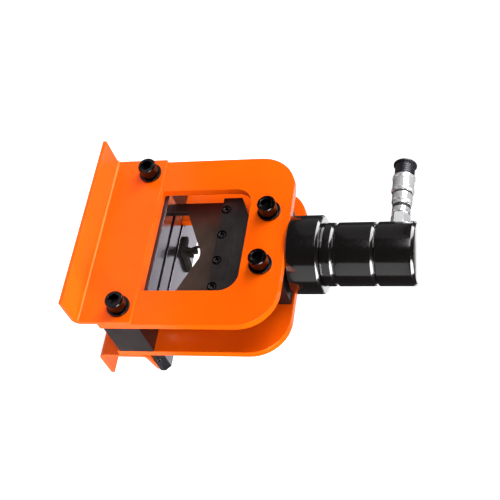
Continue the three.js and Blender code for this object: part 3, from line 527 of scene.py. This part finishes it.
rod = {"spigot": 12, "radius": 17.5, "spigotLength": 22, "piston": 20, "rounding": 0.5, "sides": 64}
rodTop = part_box("piston_rod")[1].z / mm
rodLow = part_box("piston_rod")[0].z / mm
rodProfile = [
    (0, rodLow),
    (rod["spigot"], rodLow),
    (rod["spigot"], rodLow + rod["spigotLength"]),
    (rod["radius"], rodLow + rod["spigotLength"]),
    (rod["radius"], rodTop - rod["piston"]),
    (rod["spigot"], rodTop - rod["piston"]),
    (rod["spigot"], rodTop),
    (0, rodTop),
]
rodShape = turn(rounded(rodProfile, rod["rounding"]), cylinderPlace, rod["sides"])
finishPiece("rod_turned", rodShape, "piston_rod")
print("stage: cylinder")


# Hose coupling, its heights counted outwards from the cylinder's axis

couplingPlace = facingSide(axis.x, axis.y, port.z)

adaptor = {"shank": 6.5, "start": 30.8, "seat": 39.3, "flats": 22, "round": 12, "hexEnd": 56.7,
           "nose": 7.5, "end": 66, "bore": 3, "bevel": 1.2, "bevelShare": 0.6, "inset": 0.3,
           "sides": 72}
adaptorHex = hexagon(adaptor["flats"])
adaptorRim = adaptor["flats"] / 2 - adaptor["inset"]
adaptorBevel = adaptor["bevel"] * adaptor["bevelShare"]
adaptorProfile = [
    (adaptor["bore"], adaptor["start"]),
    (adaptor["shank"], adaptor["start"]),
    (adaptor["shank"], adaptor["seat"]),
    (adaptorRim, adaptor["seat"]),
    (within(adaptorHex, adaptor["round"]), adaptor["seat"] + adaptorBevel),
    (adaptorHex, adaptor["seat"] + adaptor["bevel"]),
    (adaptorHex, adaptor["hexEnd"] - adaptor["bevel"]),
    (within(adaptorHex, adaptor["round"]), adaptor["hexEnd"] - adaptorBevel),
    (adaptorRim, adaptor["hexEnd"]),
    (adaptor["nose"], adaptor["hexEnd"]),
    (adaptor["nose"], adaptor["end"]),
    (adaptor["bore"], adaptor["end"]),
]
finishPiece("adaptor_turned", turn(adaptorProfile, couplingPlace, adaptor["sides"]), "port_adaptor")

# The neck's two heights are counted back from the ring's start, and the cut's four from its end
coupling = {"socket": 7.8, "start": 57, "waist": 12, "edge": 1, "ring": 75.8, "ringRadius": 13.3,
            "ringEnd": 91.3, "nose": 9, "noseEnd": 126, "bore": 4.55, "spring": 96, "passage": 3,
            "passageStart": 66.3, "grooveStart": 65.6, "grooveEnd": 70.6, "grooveFloor": 10.8,
            "neckStart": 2.4, "neckFloor": 2.1, "cutStart": 4.4, "cutFloor": 4.2,
            "cutFloorEnd": 1.6, "cutEnd": 1.4, "depth": 0.7, "rounding": 0.3}
couplingProfile = [
    (coupling["socket"], coupling["start"]),
    (coupling["waist"] - coupling["edge"], coupling["start"]),
    (coupling["waist"], coupling["start"] + coupling["edge"]),
    (coupling["waist"], coupling["grooveStart"]),
    (coupling["grooveFloor"], coupling["grooveStart"]),
    (coupling["grooveFloor"], coupling["grooveEnd"]),
    (coupling["waist"], coupling["grooveEnd"]),
    (coupling["waist"], coupling["ring"] - coupling["neckStart"]),
    (coupling["waist"] - coupling["depth"], coupling["ring"] - coupling["neckFloor"]),
    (coupling["waist"] - coupling["depth"], coupling["ring"]),
    (coupling["ringRadius"], coupling["ring"]),
    (coupling["ringRadius"], coupling["ringEnd"] - coupling["cutStart"]),
    (coupling["ringRadius"] - coupling["depth"], coupling["ringEnd"] - coupling["cutFloor"]),
    (coupling["ringRadius"] - coupling["depth"], coupling["ringEnd"] - coupling["cutFloorEnd"]),
    (coupling["ringRadius"], coupling["ringEnd"] - coupling["cutEnd"]),
    (coupling["ringRadius"] - coupling["edge"], coupling["ringEnd"]),
    (coupling["nose"], coupling["ringEnd"]),
    (coupling["nose"], coupling["noseEnd"]),
    (coupling["bore"], coupling["noseEnd"]),
    (coupling["bore"], coupling["spring"]),
    (coupling["passage"], coupling["spring"]),
    (coupling["passage"], coupling["passageStart"]),
    (coupling["socket"], coupling["passageStart"]),
]
couplingShape = turn(rounded(couplingProfile, coupling["rounding"]), couplingPlace)
finishPiece("coupling_turned", couplingShape, "coupling_body")

# The ring seal's start and end are counted back from the ring's end, as the cut's heights are
sealRounding = 0.45  # share of a seal's width
waistSeal = {"room": 0.1, "sink": 0.05, "radius": 11.7}
ringSeal = {"start": 4.1, "end": 1.7, "sink": 0.8, "radius": 13.15}


def sealRing(name, start, end, inner, outer):
    # A rubber ring in a groove of the coupling
    section = [(inner, start), (outer, start), (outer, end), (inner, end)]
    profile = rounded(section, (end - start) * sealRounding)
    ring = addPiece(name, turn(profile, couplingPlace), "coupling_body")
    ring.data.materials.append(paints["rubber"])


sealRing("waist_seal", coupling["grooveStart"] + waistSeal["room"],
         coupling["grooveEnd"] - waistSeal["room"],
         coupling["grooveFloor"] - waistSeal["sink"], waistSeal["radius"])
sealRing("ring_seal", coupling["ringEnd"] - ringSeal["start"],
         coupling["ringEnd"] - ringSeal["end"],
         coupling["ringRadius"] - ringSeal["sink"], ringSeal["radius"])

sleeve = {"bore": 9.3, "start": 91.6, "end": 116, "radius": 15, "edge": 1, "band": 4, "depth": 0.8,
          "mouth": 11.5, "mouthFloor": 112, "rounding": 0.4}
waistLow, waistHigh = sleeve["start"] + sleeve["band"], sleeve["end"] - sleeve["band"]
sleeveProfile = [
    (sleeve["bore"], sleeve["start"]),
    (sleeve["radius"] - sleeve["edge"], sleeve["start"]),
    (sleeve["radius"], sleeve["start"] + sleeve["edge"]),
    (sleeve["radius"], waistLow),
    (sleeve["radius"] - sleeve["depth"], waistLow + sleeve["depth"]),
    (sleeve["radius"] - sleeve["depth"], waistHigh - sleeve["depth"]),
    (sleeve["radius"], waistHigh),
    (sleeve["radius"], sleeve["end"] - sleeve["edge"]),
    (sleeve["radius"] - sleeve["edge"], sleeve["end"]),
    (sleeve["mouth"], sleeve["end"]),
    (sleeve["mouth"], sleeve["mouthFloor"]),
    (sleeve["bore"], sleeve["mouthFloor"]),
]
sleeveShape = turn(rounded(sleeveProfile, sleeve["rounding"]), couplingPlace)
finishPiece("sleeve_turned", sleeveShape, "screw_sleeve")

poppet = {"stem": 1.6, "radius": 4.4, "length": 9, "rounding": 0.25, "sides": 48}
poppetHigh = (axis.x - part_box("coupling_poppet")[0].x) / mm
poppetLow = (axis.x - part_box("coupling_poppet")[1].x) / mm
poppetProfile = [
    (0, poppetLow),
    (poppet["stem"], poppetLow),
    (poppet["stem"], poppetLow + poppet["length"]),
    (poppet["radius"], poppetLow + poppet["length"]),
    (poppet["radius"], poppetHigh - poppet["stem"]),
    (poppet["radius"] - poppet["stem"], poppetHigh),
    (0, poppetHigh),
]
poppetShape = turn(rounded(poppetProfile, poppet["rounding"]), couplingPlace, poppet["sides"])
finishPiece("poppet_turned", poppetShape, "coupling_poppet")

dustCap = {"bore": 9.3, "collar": 12.4, "ridge": 0.6, "ridgeWidth": 1.8, "ridges": 5, "rim": 15.2,
           "rimWidth": 2, "edge": 0.5, "dish": 0.5, "dishRadius": 11.4, "floor": 130, "rounding": 0.3}
capEnd = (axis.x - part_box("dust_cap")[0].x) / mm
capStart = (axis.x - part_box("dust_cap")[1].x) / mm


def dustCapProfile():
    rimStart = capEnd - dustCap["rimWidth"]
    pitch = (rimStart - capStart) / (dustCap["ridges"] + 1)
    half = dustCap["ridgeWidth"] / 2
    points = [
        (0, dustCap["floor"]),
        (dustCap["bore"], dustCap["floor"]),
        (dustCap["bore"], capStart),
        (dustCap["collar"], capStart),
    ]
    for i in range(dustCap["ridges"]):
        ridge = capStart + pitch * (i + 1)
        points += [
            (dustCap["collar"], ridge - half),
            (dustCap["collar"] + dustCap["ridge"], ridge - half / 2),
            (dustCap["collar"] + dustCap["ridge"], ridge + half / 2),
            (dustCap["collar"], ridge + half),
        ]
    points += [
        (dustCap["collar"], rimStart),
        (dustCap["rim"], rimStart),
        (dustCap["rim"], capEnd - dustCap["edge"]),
        (dustCap["rim"] - dustCap["edge"], capEnd),
        (dustCap["dishRadius"], capEnd),
        (dustCap["dishRadius"] - dustCap["dish"], capEnd - dustCap["dish"]),
        (0, capEnd - dustCap["dish"]),
    ]
    return rounded(points, dustCap["rounding"])


finishPiece("dust_cap_turned", turn(dustCapProfile(), couplingPlace), "dust_cap")
print("stage: coupling")


# Screws, washers and nuts

throughBolt = {"shank": 8, "head": 12, "headLength": 16, "flats": 14, "socketDepth": 8, "knurled": True,
               "threaded": 14, "pitch": 2.0, "sides": 96, "smoothAngle": 40}
bladeScrew = {"shank": 4, "head": 6.5, "headLength": 8, "flats": 6, "socketDepth": 4, "knurled": False,
              "threaded": 0, "sides": 72, "smoothAngle": sharpAngle}
undersideScrew = {**bladeScrew, "knurled": True, "sides": 96}

# Shares of a screw's head, chamfer, socket or shank, apart from the count of knurls; threadGap,
# socketEdge, floorStep and drill are millimetres
screw = {"chamfer": 0.09, "seatChamfer": 0.7, "crownEdge": 1.6, "crownMiddle": 0.75, "crownInset": 0.25,
         "knurls": 48, "knurlDepth": 0.022, "knurlLow": (0.12, 0.16), "knurlHigh": (0.8, 0.84),
         "tip": 0.82, "threadStart": 0.15, "plainTip": 0.2, "threadGap": 0.2,
         "socketEdge": 0.35, "socketFloor": 0.8, "floorStep": 0.1, "drill": 1.5}
threads = {"depth": 0.55, "ringsPerTurn": 6}


def threadRadius(radius, depth, phase):
    return lambda angle: radius - depth * (1 - abs((phase - angle / (2 * math.pi)) % 1 * 2 - 1))


def thread(radius, pitch, low, high):
    # Rings of a screw thread, to be turned as part of a profile
    depth = pitch * threads["depth"]
    count = int((high - low) / pitch * threads["ringsPerTurn"])
    heights = [low + (high - low) * i / count for i in range(count + 1)]
    return [(threadRadius(radius, depth, height / pitch), height) for height in heights]


def socketScrewProfile(size, shankLength):
    # A socket-head screw along +Z, its head standing on height 0
    shank, head, headLength = size["shank"], size["head"], size["headLength"]
    edge = head * screw["chamfer"]
    seatEdge = edge * screw["seatChamfer"]
    socket = hexagon(size["flats"])
    socketFloor = headLength - size["socketDepth"]
    grip = knurl(head, screw["knurls"], head * screw["knurlDepth"]) if size["knurled"] else head
    plainEnd = max(size["threaded"], shank * screw["plainTip"]) + screw["threadGap"]
    points = [(0, -shankLength), (shank * screw["tip"], -shankLength)]
    if size["threaded"]:
        points += thread(shank, size["pitch"], -shankLength + shank * screw["threadStart"],
                         -shankLength + size["threaded"])
    points += [
        (shank, -shankLength + plainEnd),
        (shank, 0),
        (head - seatEdge, 0),
        (head, seatEdge),
        (head, headLength * screw["knurlLow"][0]),
        (grip, headLength * screw["knurlLow"][1]),
        (grip, headLength * screw["knurlHigh"][0]),
        (head, headLength * screw["knurlHigh"][1]),
        (head, headLength - edge * screw["crownEdge"]),
        (head - edge * screw["crownInset"], headLength - edge * screw["crownMiddle"]),
        (head - edge, headLength),
        (size["flats"] / 2 / math.cos(math.pi / 6) + screw["socketEdge"], headLength),
        (socket, headLength - screw["socketEdge"]),
        (socket, socketFloor),
        (size["flats"] / 2 * screw["socketFloor"], socketFloor - screw["floorStep"]),
        (0, socketFloor - screw["drill"]),
    ]
    return points


def placeScrew(name, size, fromBelow=False):
    low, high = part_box(name)
    centre = middle(name)
    if fromBelow:
        seat = low.z / mm + size["headLength"]
        shankLength = high.z / mm - seat
        place = facingDown(centre.x, centre.y, seat * mm)
    else:
        seat = low.y / mm + size["headLength"]
        shankLength = high.y / mm - seat
        place = facingFront(centre.x, seat * mm, centre.z)
    bm = turn(socketScrewProfile(size, shankLength), place, size["sides"])
    finishPiece(name + "_turned", bm, name, size["smoothAngle"])


for name in ("lower_bolt_1", "lower_bolt_2", "upper_bolt_1", "upper_bolt_2"):
    placeScrew(name, throughBolt)
for i in range(4):
    placeScrew(f"blade_screw_{i + 1}", bladeScrew)
for name in [f"fixed_blade_screw_{i + 1}" for i in range(4)] + ["table_screw_1", "table_screw_2"]:
    placeScrew(name, undersideScrew, fromBelow=True)

washer = {"edge": 0.5, "boltBore": 8.3, "studBore": 4.3, "sides": 72}


def placeWasher(name, bore, alongY):
    low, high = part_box(name)
    centre = middle(name)
    outer = (high.x - low.x) / 2 / mm
    thick = ((high.y - low.y) if alongY else (high.z - low.z)) / mm
    half = thick / 2
    profile = rounded([(bore, -half), (outer, -half), (outer, half), (bore, half)], washer["edge"])
    place = facingFront(*centre) if alongY else upright(*centre)
    finishPiece(name + "_turned", turn(profile, place, washer["sides"]), name)


for name in ("lower_washer", "upper_washer", "nut_washer"):
    placeWasher(name + "_1", washer["boltBore"], True)
    placeWasher(name + "_2", washer["boltBore"], True)
placeWasher("clamp_washer", washer["studBore"], False)

nut = {"flats": 24, "height": 13, "round": 12.9, "bevel": 1.2, "bevelShare": 0.5, "inset": 0.4,
       "bore": 8.3, "boreEdge": 0.8}


def placeNut(name):
    shape = hexagon(nut["flats"])
    half = nut["height"] / 2
    rim = nut["flats"] / 2 - nut["inset"]
    bevel = nut["bevel"] * nut["bevelShare"]
    profile = [
        (nut["bore"], -half + nut["boreEdge"]),
        (nut["bore"] + nut["boreEdge"], -half),
        (rim, -half),
        (within(shape, nut["round"]), -half + bevel),
        (shape, -half + nut["bevel"]),
        (shape, half - nut["bevel"]),
        (within(shape, nut["round"]), half - bevel),
        (rim, half),
        (nut["bore"] + nut["boreEdge"], half),
        (nut["bore"], half - nut["boreEdge"]),
    ]
    finishPiece(name + "_turned", turn(profile, facingFront(*middle(name))), name)


placeNut("upper_nut_1")
placeNut("upper_nut_2")

endScrew = {"radius": 3, "edge": 0.5, "flats": 3, "socketDepth": 2, "sides": 48}
low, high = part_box("table_end_screw")
half = (high.x - low.x) / mm / 2
endScrewProfile = [
    (0, -half + endScrew["socketDepth"]),
    (hexagon(endScrew["flats"]), -half + endScrew["socketDepth"]),
    (hexagon(endScrew["flats"]), -half),
    (endScrew["radius"] - endScrew["edge"], -half),
    (endScrew["radius"], -half + endScrew["edge"]),
    (endScrew["radius"], half - endScrew["edge"]),
    (endScrew["radius"] - endScrew["edge"], half),
    (0, half),
]
endScrewShape = turn(endScrewProfile, facingSide(*middle("table_end_screw")), endScrew["sides"])
finishPiece("table_end_screw_turned", endScrewShape, "table_end_screw")
print("stage: fasteners")


# Clamp

stud = {"radius": 4, "pitch": 1.25, "edge": 0.6, "tipShare": 1.4, "sides": 48}
low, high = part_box("clamp_stud")
centre = middle("clamp_stud")
studProfile = [
    (0, low.z / mm),
    (stud["radius"] - stud["edge"], low.z / mm),
    *thread(stud["radius"], stud["pitch"], low.z / mm + stud["edge"], high.z / mm - stud["edge"]),
    (stud["radius"] - stud["edge"] * stud["tipShare"], high.z / mm),
    (0, high.z / mm),
]
studShape = turn(studProfile, upright(centre.x, centre.y), stud["sides"])
finishPiece("clamp_stud_turned", studShape, "clamp_stud")

wingNut = {"edge": 0.5, "angle": 40}
dress("wing_nut", wingNut["edge"], wingNut["angle"])
print("stage: clamp")


# Floor and light

grounds = {
    "floor": {"size": 40, "height": 0, "gray": 0.4, "glow": 1.0},
    "sheet": {"size": 0.3, "height": -0.0003, "gray": 0.6, "glow": 0.5},
}
groundRoughness = 0.9
sky = {"lighting": 0.04, "seen": 1.0}
lights = {
    "left softbox": {"place": (-1.0, -0.85, 0.95), "target": (0, 0, 0.25),
                     "size": (1.8, 0.8), "power": 38},
    "right softbox": {"place": (1.24, -0.02, 1.1), "target": (0, 0, 0.3),
                      "size": (1.2, 0.9), "power": 52},
    "back wall": {"place": (-1.4, 2.15, 0.71), "target": (0, 0, 0.6),
                  "size": (2.8, 0.54), "power": 8},
    "high back wall": {"place": (-1.4, 2.15, 1.33), "target": (0, 0, 0.3),
                       "size": (2.8, 0.66), "power": 0.9},
    "right card": {"place": (0.95, -0.02, 0.14), "target": (0, 0, 0.3),
                   "size": (0.88, 0.38), "power": 0.8},
    "left card": {"place": (-0.95, -0.55, 0.1), "target": (0, 0, 0.3),
                  "size": (1.6, 0.3), "power": 0.2},
    "front fill": {"place": (-0.3, -2.35, 0.7), "target": (0, 0, 0.2),
                   "size": (1.2, 1.0), "power": 20},
}


def addGround(name):
    look = grounds[name]
    data = bpy.data.meshes.new(name)
    bm = bmesh.new()
    bmesh.ops.create_grid(bm, x_segments=1, y_segments=1, size=look["size"])
    bmesh.ops.translate(bm, vec=(0, 0, look["height"]), verts=bm.verts[:])
    bm.to_mesh(data)
    bm.free()
    ground = bpy.data.objects.new(name, data)
    bpy.context.scene.collection.objects.link(ground)
    material, _, shader = startMaterial(name)
    gray = look["gray"]
    setShader(shader, color=(gray, gray, gray, 1), roughness=groundRoughness,
              glowColor=(1, 1, 1, 1), glow=look["glow"])
    data.materials.append(material)
    return ground


def addLight(name, light):
    data = bpy.data.lights.new(name, "AREA")
    data.shape = "RECTANGLE"
    data.size, data.size_y = light["size"]
    data.energy = light["power"]
    lamp = bpy.data.objects.new(name, data)
    lamp.location = light["place"]
    aim = Vector(light["target"]) - Vector(light["place"])
    lamp.rotation_mode = "QUATERNION"
    lamp.rotation_quaternion = aim.to_track_quat("-Z", "Y")
    bpy.context.scene.collection.objects.link(lamp)


def addWorld():
    # White behind the floor, and dim in everything that it lights
    world = bpy.data.worlds.new("world")
    bpy.context.scene.world = world
    world.use_nodes = True
    tree = world.node_tree
    shader = tree.nodes["Background"]
    shader.inputs["Color"].default_value = (1, 1, 1, 1)
    rays = tree.nodes.new("ShaderNodeLightPath")
    strength = tree.nodes.new("ShaderNodeMapRange")
    strength.inputs["To Min"].default_value = sky["lighting"]
    strength.inputs["To Max"].default_value = sky["seen"]
    tree.links.new(rays.outputs["Is Camera Ray"], strength.inputs["Value"])
    tree.links.new(strength.outputs["Result"], shader.inputs["Strength"])


addCamera()

# A white floor that the machine neither mirrors nor takes light from
floor = addGround("floor")
floor.visible_glossy = False
floor.visible_diffuse = False

# A pale sheet under the machine, seen only in its reflections and by its glow
sheet = addGround("sheet")
sheet.visible_camera = False
sheet.visible_shadow = False

addWorld()
for name, light in lights.items():
    addLight(name, light)
bpy.context.scene.view_settings.view_transform = "Standard"
print("stage: light")
